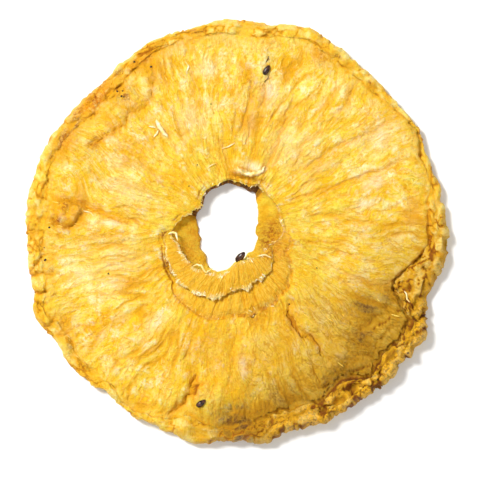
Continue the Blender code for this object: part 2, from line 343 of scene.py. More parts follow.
# Noise round the ring, as waves round it, waves per millimetre outwards and a seed
turnNoises = {
    "bundle": (9, 0.06, 11.3), "outerBundle": (15, 0.07, 31.3), "thread": (28, 0.22, 3.9),
    "outerThread": (52, 0.24, 13.9), "pucker": (36, 0.06, 53.9), "crustDrift": (9, 0.25, 61.3),
    "across": (14, 0.12, 73.1), "marginDrift": (3, 0.12, 19.2), "rib": (8.5, 0.05, 5.2),
    "stria": (26, 0.16, 7.4), "tooth": (8, 0, 44.4), "fineTooth": (22, 0, 35.5),
    "ragged": (20, 0, 28.3), "fringe": (7, 0, 66.1),
}

# Noise in the crust, as waves round the ring, waves per millimetre outwards and upwards, and a seed
crustNoises = {
    "fold": (7, 0.42, 0.2, 6.2), "crag": (13, 0.7, 0.4, 9.6), "chip": (34, 1.3, 0.8, 1.7),
    "crevice": (11, 0.5, 0, 83.4), "seam": (5, 1.1, 0, 38.6), "seamBreak": (20, 0.3, 0, 51.2),
}

# The flat chips of the crust: how fine they are, and where their own slopes and tones are read
chips = {
    "around": 19, "outward": 0.5, "upward": 0.25, "stray": 0.4, "slopeScale": 3.7, "toneScale": 5.3,
    "asideX": (11.3, 0, 0), "asideY": (0, 17.9, 0),
}

# Where round the ring something shows, as (middle angle, half width, share)
zones = {
    "holeEdge": ((135, 70, 0.9),), "underCut": ((140, 85, 1),), "wallShade": ((135, 105, 1),),
    "gathered": ((305, 65, 1), (225, 40, 0.4)), "sag": ((305, 65, 1),), "plain": ((262, 62, 0.75),),
    "rugged": ((308, 66, 0.58), (345, 40, 0.3)), "deep": ((315, 85, 0.2),),
    "across": ((196, 46, 1),), "seam": ((122, 48, 1),), "rimEdge": ((125, 62, 0.8),),
    "darkCrease": ((312, 60, 1), (205, 25, 0.3), (8, 14, 0.5)),
    "shade": ((308, 66, 0.9), (20, 30, 0.3)),
}

# How far the fibres drift, in degrees
drifts = {"wideDrift": 7, "drift": 3.6, "fineDrift": 1.3}

# How far patterns run round and along the fibres, for each turn round the ring and each millimetre outwards
fibreTurn = 27
fibreAlong = 0.2

# Fibres that leave the straight way out, as (angle, half width, start radius, end radius, turn)
bends = (
    (161, 17, 27, 39, 15), (205, 26, 18, 40, 7), (318, 24, 22, 40, -8),
    (60, 30, 16, 40, -4), (262, 20, 18, 38, 6),
)

# Creases, as a line through (angle, radius) points, a depth, a half width and how dark its painted shade is
creases = (
    (((305.4, 19.4), (301.4, 21.2), (300.9, 24.5), (302.4, 26.3)), 0.5, 0.22, 1),
    (((303.5, 20.6), (302.7, 21.9), (302.5, 24.5), (302.4, 26.3)), 0.4, 0.2, 0.8),
    (((302.6, 21.4), (301.8, 23), (301.7, 25)), 0.4, 0.55, 0.72),
    (((302.4, 26.3), (305.5, 27.5), (306.1, 30.4), (305, 32)), 0.5, 0.22, 0.95),
    (((323.8, 35.4), (329.5, 37.4), (334.6, 39.1)), 0.5, 0.3, 0.9),
    (((317.1, 33.5), (317.9, 35.9), (319.1, 38.1)), 0.4, 0.3, 0.75),
    (((300, 38.7), (305.2, 38.9), (309.6, 39.1), (315, 41)), 0.6, 0.3, 0.95),
    (((298.9, 33.4), (298.4, 35.7), (299.5, 37.5)), 0.4, 0.3, 0.7),
    (((254.8, 36.2), (256.5, 33.9)), 0.6, 0.5, 1),
    (((119, 36.5), (122, 34.4), (126, 33.6), (131.5, 34.3), (136, 33.2)), 0.5, 0.28, 0.7),
    (((136, 33.2), (142.3, 34.5), (149, 36.4)), 0.45, 0.3, 0.9),
    (((170, 35.8), (169.6, 33.2), (170.3, 31.8), (171.6, 29.6)), 0.5, 0.35, 0.7),
    (((171.6, 29.6), (174, 24.6), (174.2, 21.2)), 0.4, 0.35, 0.5),
    (((176.3, 39.6), (178.1, 38.7), (178.3, 36.1), (176.4, 34), (172.6, 33.4)), 0.6, 0.35, 0.75),
    (((250.3, 42), (252.2, 39), (254.6, 36), (254, 32.2)), 0.6, 0.3, 0.85),
    (((4, 30.1), (6, 23.7), (10, 20.4)), 0.3, 0.3, 0.45),
    (((66.5, 30.7), (65.2, 23), (65.4, 15.2)), 0.4, 0.35, 0.35),
    (((51, 39.6), (49.2, 37), (50.4, 30), (52.5, 23)), 0.35, 0.3, 0.35),
    (((35.5, 43.1), (35.6, 38.9), (37.8, 31.6), (41.2, 27.4), (42.5, 20.5)), 0.35, 0.35, 0.35),
    (((22.8, 38), (23.8, 27.3), (26.4, 21.8), (29, 14)), 0.35, 0.3, 0.35),
    (((88, 36.5), (84, 32.5), (84, 28.5), (86.5, 22)), 0.4, 0.4, 0.5),
    (((79, 32), (77, 29), (80.5, 27)), 0.4, 0.3, 0.5),
    (((322, 34), (328, 35.5), (334, 36.8)), 0.5, 0.35, 0.7),
    (((314, 37), (318, 40), (323, 38.5), (329, 39.5)), 0.5, 0.35, 0.7),
    (((300, 41), (306, 38.5), (311, 37)), 0.5, 0.4, 0.6),
    (((337, 33), (341, 34.5), (344, 36)), 0.4, 0.35, 0.5),
)
creaseWobble = 0.7
haloFall = 0.1

# Shrinkage creases that run with the fibres all round the flesh; their darkness is painted shade
strays = {
    "count": 58, "seed": 11, "start": (15, 33), "length": (4, 13), "farthest": 41, "step": 2.5,
    "aside": (-0.4, 0.4), "bend": (-2.2, 2.2), "depth": (0.1, 0.35), "halfWidth": (0.2, 0.4),
    "darkness": (0.1, 0.45),
}

# Tones and roughness, as (angle, radius, length outwards, width, strength)
stains = (
    (170.4, 36.9, 2, 1.6, 1.6), (176.6, 38.7, 1.8, 1.6, 1.5), (129, 38.3, 2.4, 3, 0.9),
    (148, 36, 1.6, 2.6, 0.7), (84, 32, 5, 2.6, 0.3), (208, 42, 3, 3, 0.3), (64, 42, 2.5, 3, 0.5),
    (137, 42.2, 1.2, 2.6, 1.1), (143, 42.6, 1, 3, 0.9), (127, 42.6, 0.9, 2.4, 0.9),
    (122, 41.6, 1.2, 2, 0.8), (151, 42.4, 1, 2.2, 0.8), (0, 7.8, 2.6, 3.2, 0.8),
    # (207, 16.4) and (181, 15.6) are brown spots at the lip's left end, partly painted shade of the gap
    # under it
    (345, 7, 2.4, 3.4, 0.9), (325, 8.6, 2, 2.4, 0.6), (207, 16.4, 0.9, 3.2, 0.9),
    (181, 15.6, 1.2, 1.4, 1), (133, 43, 0.8, 1.4, 1), (146, 41.4, 0.8, 1.3, 1),
    (114, 43.4, 0.8, 1.7, 0.9), (158, 42.8, 0.8, 1.4, 0.9), (101, 43.9, 0.7, 1.8, 0.8),
    (170, 42.6, 0.9, 1.1, 0.8), (192, 40.6, 0.7, 1.3, 0.9), (199, 41.4, 0.8, 1, 0.8),
    (214, 43.2, 0.8, 1.4, 0.9), (222, 43.6, 0.8, 1.5, 0.7), (47.6, 43.2, 0.9, 1.6, 1),
    (60, 43.6, 0.7, 1.7, 0.9), (84, 44.6, 0.7, 1.7, 0.7), (30, 43.8, 0.6, 1.6, 0.7),
    (14, 43.4, 0.6, 1.3, 0.7), (6, 43.2, 0.6, 2.4, 0.5),
)
# orange patches on the rim band and flesh; those on the hole's wall, (2, 8), (340, 9), (186, 8) and (200,
# 11), are painted shade, with some staining on the right wall
ambers = (
    (137, 41.5, 3, 9, 1.2), (118, 42, 2.6, 7, 1), (152, 41.5, 2.6, 6, 1), (104, 43, 2.2, 6, 0.6),
    (131, 34.5, 2.5, 9, 0.5), (172, 38, 4, 4.5, 0.8), (208, 42, 3, 6, 0.4), (64, 42, 2.5, 4, 0.6),
    (262, 26, 8, 13, 0.55), (2, 8, 5, 6, 0.6), (340, 9, 5, 5, 0.7), (186, 8, 5, 6, 0.7),
    (200, 11, 4, 5, 0.7),
)
bruises = (
    (271, 41.3, 6, 6.2, 1.3), (275, 35, 4, 2.4, 0.3), (330, 32.3, 4, 3.4, 0.9),
    (320, 35, 3.4, 4, 0.8), (338, 35.5, 2.5, 3, 0.8), (286, 37, 4, 5, 0.45), (308, 37.5, 3.5, 7, 0.5),
)
pales = (
    (12.5, 28.6, 3, 1.2, 0.8), (19.5, 31.6, 3, 1.5, 0.8), (33, 37, 4, 3, 0.7), (37, 23, 2.5, 1, 0.5),
    (56, 33, 2, 0.8, 0.6), (76, 31, 4, 3, 0.7), (82, 24.2, 3.5, 0.9, 1), (126, 27, 2.5, 0.8, 0.9),
    (176, 27, 3.4, 1, 0.9), (273, 29, 2.8, 1, 0.6), (228.5, 26.2, 3.5, 1.5, 0.7),
    (150, 30, 4, 2, 0.5), (196, 34, 5, 2.6, 0.5), (193, 26, 6, 5, 0.4), (100, 36, 3, 3, 0.5),
    (112, 26, 4, 3, 0.5), (76, 14.4, 1.6, 3, 0.9), (203, 29, 5, 3, 0.4), (58, 22, 6, 6, 0.35),
    (160, 24, 5, 3, 0.4),
)
crumpled = (
    (131, 38.8, 5, 15, 1), (108, 41, 3.5, 9, 0.8), (86, 41, 3, 9, 0.6), (174, 38, 5, 6, 1),
    (155, 40, 4, 8, 0.8), (55, 41, 3, 9, 0.7), (196, 41, 3, 8, 0.5), (250, 39, 5, 9, 0.5),
    (330, 38, 5, 8, 0.6), (305, 39, 4, 8, 0.6), (72, 17, 4, 4, 0.6), (140, 15, 3, 6, 0.5),
    (270, 40, 6, 6, 0.9), (318, 37, 5, 8, 0.8), (146, 31, 4, 6, 0.6),
)
smoothed = (
    (76, 14.6, 2.6, 4.5, 1), (196, 33, 10, 11, 0.75), (255, 33, 6, 6, 0.5), (54, 28, 12, 11, 0.5),
)
flapEdge = ((88, 13.2), (81, 12.95), (74.7, 13.0), (69, 13.7), (65, 14.9))
flapEdgeWidth = 0.4

# Where a fold of flesh stands above what lies inside it, as (points, height, reach)
ledges = (
    (((117, 38), (122, 34.4), (126, 33.6), (131.5, 34.3), (136, 33.2), (142.3, 34.5), (151, 37.5)), 0.2, 4),
    (((169, 35.5), (172.6, 33.4), (176.4, 34), (179, 37)), 0.4, 2),
    (((64, 14.8), (69, 13.3), (74.7, 12.6), (81, 12.55), (88, 12.8), (92, 13.6)), 0.9, 3),
)
ledgeShape = {"wander": 0.9, "step": 0.25, "ends": 0.35}


def ease(value, low, high):
    t = np.clip((value - low) / (high - low), 0, 1)
    return t * t * (3 - 2 * t)


def zone(angle, name):
    return sum(share * window(angle, middle, halfWidth) for middle, halfWidth, share in zones[name])


def flatNoise(x, y, name):
    size, seed = flatNoises[name]
    return noiseAt(x * size, y * size, 0.0, seed)


def roundNoise(angle, radius, name):
    return turnNoise(angle, radius, *turnNoises[name])


def crustNoise(turn, radius, height, name):
    around, outward, upward, seed = crustNoises[name]
    return noiseAt(np.cos(turn) * around, np.sin(turn) * around, radius * outward + height * upward, seed)


def fibreAngle(angle, radius):
    # the fibres run outwards, but drift and bend
    x, y = flatPlace(angle, radius)
    drift = sum(turn * flatNoise(x, y, name) for name, turn in drifts.items())
    for middle, halfWidth, start, end, turn in bends:
        drift += turn * ease(radius, start, end) * window(angle, middle, halfWidth)
    return angle + drift


def valley(value, sharp):
    # 1 along the lines where smooth noise changes sign, falling to 0 on both sides
    return 1 - np.clip(np.abs(value) * sharp, 0, 1)


def spotted(angle, radius, spots):
    x, y = flatPlace(angle, radius)
    total = np.zeros_like(x)
    for spotAngle, spotRadius, length, width, strength in spots:
        spotX, spotY = flatPlace(spotAngle, spotRadius)
        outX, outY = flatPlace(spotAngle, 1)
        along = ((x - spotX) * outX + (y - spotY) * outY) / length
        across = ((y - spotY) * outX - (x - spotX) * outY) / width
        total = np.maximum(total, strength * np.exp(-(along**2 + across**2) * 2))
    return total


def creaseField(angle, radius, lines):
    # each crease's dip, its darkness as painted shade along the line, and a wider halo of painted shade
    # round it
    x, y = flatPlace(angle, radius)
    wobbleX = x + creaseWobble * flatNoise(x, y, "wobbleX")
    wobbleY = y + creaseWobble * flatNoise(x, y, "wobbleY")
    sunk, dark, halo = (np.zeros_like(x) for _ in range(3))
    for points, depth, halfWidth, darkness in lines:
        away = distanceToLine(wobbleX, wobbleY, points) / halfWidth
        close = np.exp(-away * away)
        sunk = np.maximum(sunk, depth * close)
        dark = np.maximum(dark, darkness * close)
        halo = np.maximum(halo, darkness * np.exp(-haloFall * away * away))
    return sunk, dark, halo


def ledgeField(angle, radius):
    x, y = flatPlace(angle, radius)
    wander = ledgeShape["wander"] * flatNoise(x, y, "ledge")
    step = ledgeShape["step"]
    total = np.zeros_like(radius)
    for points, height, reach in ledges:
        angles, radii = zip(*points)
        outside = radius - np.interp(angle, angles, radii) + wander
        middle, halfWidth = (angles[0] + angles[-1]) / 2, (angles[-1] - angles[0]) / 2
        ends = ease(halfWidth - np.abs(angle - middle), 0, halfWidth * ledgeShape["ends"])
        total += height * ends * ease(outside, -step, step) * np.exp(-np.maximum(outside, 0) / reach)
    return total


def strayCreases():
    draw = random.Random(strays["seed"])
    lines = []
    for index in range(strays["count"]):
        angle = 360 * (index + draw.uniform(*strays["aside"])) / strays["count"]
        radius = draw.uniform(*strays["start"])
        end = min(radius + draw.uniform(*strays["length"]), strays["farthest"])
        points = [(angle, radius)]
        while radius < end:
            radius += strays["step"]
            angle += draw.uniform(*strays["bend"])
            points.append((angle, radius))
        lines.append((points, *(draw.uniform(*strays[name]) for name in ("depth", "halfWidth", "darkness"))))
    return lines


def zoneMasks(angle, rows):
    # how much each row belongs to the crust, flesh, collar, lip, hole's wall and underside
    names = ("crust", "flesh", "collar", "lip", "wall", "under", "edge")
    masks = {name: np.zeros(angle.shape) for name in names}
    curled, raised = lipShare(angle[0]), collarShare(angle[0])
    stations = rows["margin"].start + np.concatenate([[0], np.cumsum(ring["marginSpans"])])
    fading = (
        (rows["slope"].start, rows["slope"].stop, 0.9, 0.3),
        (rows["under"].stop - 4, rows["under"].stop, 0.2, 0.9),
        (rows["flesh"].start, rows["flesh"].start + 4, 0.25, 0.05),
    )
    masks["crust"][rows["rim"]] = 1
    for start, stop, first, last in fading:
        masks["crust"][start:stop] = np.linspace(first, last, stop - start)[:, None]
    masks["collar"][stations[1]:stations[4]] = raised
    masks["lip"][stations[4]:stations[7] + 1] = curled
    masks["wall"][stations[7] + 1:rows["margin"].stop] = 1
    masks["under"][rows["under"]] = 1
    masks["edge"][stations[5] - 1:stations[5] + 2] = curled * 0.9
    masks["edge"][stations[1] - 1:stations[1] + 2] = raised * 0.5
    masks["edge"][stations[7] - 1:stations[7] + 1] = 0.45 + zone(angle[0], "holeEdge")
    taken = masks["crust"] + masks["collar"] + masks["lip"] + masks["wall"] + masks["under"]
    masks["flesh"] = np.clip(1 - taken, 0, 1)
    return masks


def fleshRelief(angle, radius, turned):
    # fibres in bundles and threads, crumpled places, creases and puckers
    x, y = flatPlace(angle, radius)
    outer = ease(radius, 17, 30)
    bundle, thread = (
        roundNoise(turned, radius, near) * (1 - outer) + roundNoise(turned, radius, far) * outer
        for near, far in (("bundle", "outerBundle"), ("thread", "outerThread"))
    )
    furrowed = ease(flatNoise(x, y, "furrowed"), -0.15, 0.35)
    threaded = ease(flatNoise(x, y, "threaded"), -0.3, 0.3)
    smooth = 1 - spotted(angle, radius, smoothed)
    bundleValley, threadValley = valley(bundle, 4.2) ** 1.2, valley(thread, 2.6)
    crumple, wrinkle = flatNoise(x, y, "crumple"), flatNoise(x, y, "wrinkle")
    rough = 0.7 + 2.2 * spotted(angle, radius, crumpled)
    height = relief["swell"] * (flatNoise(x, y, "wideSwell") + 0.6 * flatNoise(x, y, "swell"))
    height -= relief["bundle"] * bundleValley * (0.15 + furrowed) * smooth
    height -= relief["thread"] * threadValley * (0.3 + threaded) * smooth
    height += rough * (relief["crumple"] * np.abs(crumple) + relief["wrinkle"] * np.abs(wrinkle))
    sunk, dark, halo = creaseField(angle, radius, creases + tuple(strayCreases()))
    height -= sunk
    height += ledgeField(angle, radius)
    height -= relief["sag"] * zone(angle, "sag") * ease(radius, 30, 41)
    pucker = valley(roundNoise(angle + 0.8 * crumple, radius, "pucker"), 2.5)
    height -= relief["gather"] * zone(angle, "gathered") * ease(radius, 33, 40) * pucker

    # painted shade and highlight: hollow darkens the fibre valleys, crumples and creases where shade falls,
    # and crest paints the crumpled ridges paler
    hollow = 0.8 * valley(bundle, 3.6) * (0.1 + furrowed) * (0.4 + 0.6 * ease(radius, 12, 20))
    hollow = (hollow + 0.25 * threadValley * threaded) * smooth
    hollow += 0.5 * (valley(crumple, 5) * 0.3 + valley(wrinkle, 5) * 0.2) * rough
    hollow = np.maximum(np.clip(hollow, 0, 0.58), dark)
    crest = ease(np.abs(crumple) + 0.6 * np.abs(wrinkle), 0.3, 0.75) * (1 - bundleValley)
    return height, hollow, crest, halo


def facets(x, y, z):
    # flat chips with a slope and a tone of their own, and how close each place is to a chip's edge
    tilt, edge, tone = (np.zeros(x.shape) for _ in range(3))
    asideX, asideY = Vector(chips["asideX"]), Vector(chips["asideY"])
    for index in np.ndindex(x.shape):
        place = Vector((x[index], y[index], z[index]))
        distances, points = noise.voronoi(place)
        own = points[0] * chips["slopeScale"]
        slope = Vector((noise.noise(own), noise.noise(own + asideX), noise.noise(own + asideY)))
        tilt[index] = slope.dot(place - points[0])
        edge[index] = distances[1] - distances[0]
        tone[index] = noise.noise(points[0] * chips["toneScale"])
    return tilt, edge, tone


def crustRelief(angle, radius, height):
    # a crumpled ribbon with thin crests, deepest at the lower right, and folds across it at the left
    turn = np.radians(angle + 1.5 * roundNoise(angle, radius, "crustDrift"))
    fold, crag, chip = (crustNoise(turn, radius, height, name) for name in ("fold", "crag", "chip"))
    rugged = 0.42 + zone(angle, "rugged")
    stray = chips["stray"] * chip
    tilt, edge, tone = facets(
        np.cos(turn) * chips["around"] + stray, np.sin(turn) * chips["around"] + stray,
        radius * chips["outward"] + height * chips["upward"],
    )
    crevice = 1 - ease(edge, 0.02, 0.26)
    crevice = crevice * ease(crustNoise(turn, radius, height, "crevice"), -0.2, 0.15)
    across = valley(roundNoise(angle + 0.9 * fold, radius, "across"), 5) * zone(angle, "across")
    seam = valley(crustNoise(turn, radius, height, "seam"), 6) * zone(angle, "seam")
    seam = seam * ease(crustNoise(turn, radius, height, "seamBreak"), -0.3, 0.1)
    inside = ease(rimRadius(angle) - radius, 0, 0.9)

    total = relief["fold"] * (0.22 - np.abs(fold)) + relief["crag"] * (0.22 - np.abs(crag))
    total = (total + relief["facet"] * tilt) * rugged
    total += relief["chip"] * (0.1 - 0.5 * crevice * rugged - 0.2 * np.abs(chip))
    total -= (relief["across"] * across + relief["seam"] * seam) * (0.3 + 0.7 * inside)
    # painted shade and highlight: hollow darkens the folds, crags and crevices, with some darker chips of
    # random tone, and crest paints the crests paler, with some paler chips
    hollow = 0.25 * ease(np.abs(fold), 0.3, 0.55) + 0.35 * ease(np.abs(crag), 0.25, 0.5)
    hollow += 0.3 * ease(-tone, 0.05, 0.3)
    hollow = np.maximum(hollow, crevice) * (0.8 + zone(angle, "deep")) * (0.4 + 0.6 * rugged)
    hollow = np.maximum(hollow, np.maximum(0.6 * across, 0.75 * seam))
    crest = ease(valley(fold, 4) + 0.8 * valley(crag, 4) + 1.5 * tone, 0.4, 1.2) * (1 - crevice)
    return total, np.clip(hollow, 0, 1), crest


def marginRelief(angle, radius, height, masks):
    # ribs and fine lines over the collar and the lip, shallow pits in the hole's wall
    wavy = angle + 2 * roundNoise(angle, radius, "marginDrift")
    stria = roundNoise(wavy, radius, "stria")
    ribValley = valley(roundNoise(wavy, radius, "rib"), 4.5) ** 1.3
    striaValley = valley(stria, 2.6)
    collar = -relief["rib"] * ribValley + relief["stria"] * stria
    lip = -0.45 * relief["rib"] * ribValley - relief["stria"] * striaValley
    x, y = flatPlace(angle, radius)
    pit = np.abs(noiseAt(x * 0.4, y * 0.4, height * 0.4, 4.1))
    wall = relief["pit"] * pit - relief["wallStria"] * striaValley
    total = masks["collar"] * collar + masks["lip"] * lip + masks["wall"] * wall
    # painted shade in the rib valleys, and darker fine lines along the striae
    hollow = (0.5 * masks["collar"] + 0.25 * masks["lip"]) * ribValley
    lined = 0.35 * masks["lip"] + 0.25 * masks["collar"] + 0.06 * masks["wall"]
    return total, hollow + lined * striaValley


def toothedEdges(angle, masks):
    # the torn edges of the lips and the hole go in and out in small teeth
    return masks["edge"] * sum(relief[name] * roundNoise(angle, 0, name) for name in ("tooth", "fineTooth"))


def wallStart(rows):
    return rows["margin"].start + sum(ring["marginSpans"][:7])


def underCut(angle, rows):
    # the hole's wall steps back under its edge, most at the upper left
    first, count = wallStart(rows), ring["marginSpans"][7]
    total = np.zeros(angle.shape)
    depth = relief["underCut"] * (0.25 + zone(angle[0], "underCut"))
    for step in range(1, count):
        total[first + step] = depth * math.sin(math.pi * step / count) ** 0.5
    return total


def facing(place):
    # the direction that the surface faces, as long as its patch is large
    around = np.roll(place, -1, axis=1) - np.roll(place, 1, axis=1)
    along = np.roll(place, -1, axis=0) - np.roll(place, 1, axis=0)
    return np.cross(along, around)


def creaseShade(angle, rows):
    # painted shade: dark lines along the foot of the rim, round the collar and under the edge of the hole,
    # where shade falls
    turns = angle[0]
    total = np.zeros(angle.shape)
    ragged = ease(roundNoise(turns, 0, "ragged"), -0.35, 0.2)
    foot = np.maximum(zone(turns, "darkCrease"), 0.38 * ragged)
    total[rows["slope"].start - 1:rows["slope"].stop - 2] = foot
    total[rows["margin"].start:rows["margin"].start + 3] = 0.75 * collarShare(turns) * ragged
    reach = ease(swell(turns, "wall"), 1, 4)
    for step in range(1, 12):
        shaded = (1 - reach * min(1, step / 5)) * (0.7 + 0.3 * ragged)
        total[wallStart(rows) + step] = shaded * ease(zone(turns, "wallShade"), 0, 0.25)
    return total


def ochreTowardsLowerRight(x, y):
    # how ochre the flesh is: most at the lower right
    across, along = x * 0.70 - y * 0.72, x * 0.72 + y * 0.70
    return ease(across - 0.25 * np.abs(along) + 8 * flatNoise(x, y, "ochre"), 10, 38)


def ringSurface():
    turns = np.arange(ring["sections"]) * 360 / ring["sections"]
    path, rows = ringRows(turns)
    angle = np.broadcast_to(turns, path.shape[:2])
    radius, height = path[..., 0], path[..., 1]
    masks = zoneMasks(angle, rows)
    radius = radius + toothedEdges(angle, masks) + underCut(angle, rows)
    turned = fibreAngle(angle, radius)
    flesh, fleshHollow, fleshCrest, halo = fleshRelief(angle, radius, turned)
    crust, crustHollow, crustCrest = crustRelief(angle, radius, height)
    margin, marginHollow = marginRelief(angle, radius, height, masks)
    print("relief drawn", path.shape)
    onCrust, onFlesh = masks["crust"], masks["flesh"]
    rise = onCrust * crust + onFlesh * flesh + margin
    rise -= masks["under"] * relief["under"] * np.abs(flesh) * (1 - onCrust)

    place = np.stack([*flatPlace(angle, radius), height], axis=-1)
    normal = facing(place)
    normal /= np.linalg.norm(normal, axis=-1, keepdims=True)
    if normal[rows["flesh"].start + 10, 0, 2] < 0:
        normal = -normal
    place = place + normal * rise[..., None]
    place[..., 2] = np.maximum(place[..., 2], 0.0)
    steep = facing(place)
    flank = 1 - np.abs(steep[..., 2]) / np.linalg.norm(steep, axis=-1)

    x, y = place[..., 0], place[..., 1]
    ochre = ochreTowardsLowerRight(x, y)
    creaseRow = creaseShade(angle, rows)
    # painted shade: the hollows of flesh, margin and crust, and the crease lines, are coloured darker
    hollow = onFlesh * fleshHollow + marginHollow
    hollow += (1.45 - 0.45 * ochre) * onCrust * crustHollow
    # painted shade as an orange tint in crust crevices, round creases, on steep flanks and along the crease
    # rows; the amber spots add orange patches, and painted shade on the hole's wall
    paintedShadeTint = (
        0.7 * onCrust * crustHollow + 0.9 * onFlesh * halo,
        0.75 * onFlesh * ease(flank, 0.05, 0.35),
        1.6 * creaseRow * (1 - masks["wall"]),
    )
    amber = np.maximum(np.maximum.reduce(paintedShadeTint) * (1 - ochre), spotted(angle, radius, ambers))
    # painted shade, partly brown staining, on the flesh beside the foot of the rim, most at the lower right
    inward = np.maximum(creaseRadius(angle) - 0.5 - radius, 0)
    # pale torn edges: partly pale fibres, partly painted highlight where the edges catch the light
    fringe = masks["edge"] * ease(roundNoise(angle, 0, "fringe"), -0.35, 0.3)
    fringe[rows["margin"].start:rows["margin"].start + 5] *= 0.25
    # a pale line along the outer edge at the upper left: partly pale membrane, partly painted highlight on
    # the edge that faces the light
    rimEdge = np.zeros(angle.shape)
    rimEdge[rows["rim"].start:rows["rim"].start + 4] = zone(turns, "rimEdge")
    edgePale = np.exp(-(distanceToLine(x, y, flapEdge) / flapEdgeWidth) ** 2)
    strand = ease(flatNoise(x, y, "strand"), -0.3, 0.3) * (1 - 0.8 * ease(x - y, 10, 40))
    # painted light in these fields: ridge and crest are painted highlights, creamy and fringe partly; hollow
    # and shade are painted shade, and most of amber
    fields = {
        "crust": onCrust,
        "rind": onCrust * ochre,
        "creamy": (1 - zone(angle, "plain")) * (0.2 + 0.8 * ease(radius, 14, 30)),
        "ridge": np.maximum(onCrust * crustCrest * (1 - 0.6 * ochre), rimEdge),
        "shade": np.exp(-inward / 2) * onFlesh * zone(angle, "shade"),
        "lip": np.maximum(masks["lip"], masks["collar"]),
        "wall": np.maximum(masks["wall"], masks["under"]),
        "hollow": np.clip(np.maximum(hollow, creaseRow), 0, 1),
        "stain": np.clip(spotted(angle, radius, stains), 0, 1),
        "bruise": np.clip(spotted(angle, radius, bruises), 0, 1),
        "amber": np.clip(amber, 0, 1),
        "pale": np.maximum(spotted(angle, radius, pales), edgePale) * onFlesh,
        "crest": onFlesh * fleshCrest,
        "fringe": fringe,
        "strand": onFlesh * strand,
        "ochre": ochre,
    }
    outX, outY = flatPlace(turned, fibreTurn)
    fibre = np.stack([outX, outY, radius * fibreAlong], axis=-1)
    return place, fields, fibre, place[:rows["margin"].stop - sum(ring["marginSpans"][7:])]


def outlineCentre():
    x, y = flatPlace(np.arange(360.0), rimRadius(np.arange(360.0)))
    return np.array([(x.min() + x.max()) / 2, (y.min() + y.max()) / 2, 0.0])


def makeRing():
    # a flat grid bent into the ring, its two pairs of edges then merged
    place, fields, fibre, top = ringSurface()
    rowCount, sectionCount = place.shape[:2]
    bpy.ops.mesh.primitive_grid_add(x_subdivisions=sectionCount, y_subdivisions=rowCount, size=2)
    body = bpy.context.object
    body.name = "driedFlesh"
    mesh = body.data
    mesh.uv_layers[0].name = "OFBake"
    flat = np.empty(len(mesh.vertices) * 3)
    mesh.vertices.foreach_get("co", flat)
    flat = flat.reshape(-1, 3)
    section = np.rint((flat[:, 0] + 1) / 2 * sectionCount).astype(int) % sectionCount
    row = np.rint((flat[:, 1] + 1) / 2 * rowCount).astype(int) % rowCount
    mesh.vertices.foreach_set("co", ((place - outlineCentre())[row, section] * mm).ravel())
    for name, values in fields.items():
        layer = mesh.attributes.new(name, "FLOAT", "POINT")
        layer.data.foreach_set("value", values[row, section])
    layer = mesh.attributes.new("fibre", "FLOAT_VECTOR", "POINT")
    layer.data.foreach_set("vector", fibre[row, section].ravel())
    sheet = bmesh.new()
    sheet.from_mesh(mesh)
    bmesh.ops.remove_doubles(sheet, verts=[v for v in sheet.verts if v.is_boundary], dist=1e-7)
    bmesh.ops.recalc_face_normals(sheet, faces=sheet.faces)
    sheet.to_mesh(mesh)
    sheet.free()
    mesh.shade_smooth()
    mesh.update()
    print("ring made", len(mesh.vertices), len(mesh.polygons))
    return body, top


def linear(hexColour):
    channels = [int(hexColour[i:i + 2], 16) / 255 for i in (1, 3, 5)]
    return tuple(c / 12.92 if c <= 0.04045 else ((c + 0.055) / 1.055) ** 2.4 for c in channels) + (1,)


def addNode(tree, kind, settings=None, links=None):
    node = tree.nodes.new(kind)
    for name, value in (settings or {}).items():
        if isinstance(name, int) or name in node.inputs:
            node.inputs[name].default_value = value
        else:
            setattr(node, name, value)
    for name, output in (links or {}).items():
        tree.links.new(output, node.inputs[name])
    return node


def blankMaterial(name):
    material = bpy.data.materials.new(name)
    material.use_nodes = True
    return material, material.node_tree, material.node_tree.nodes["Principled BSDF"]


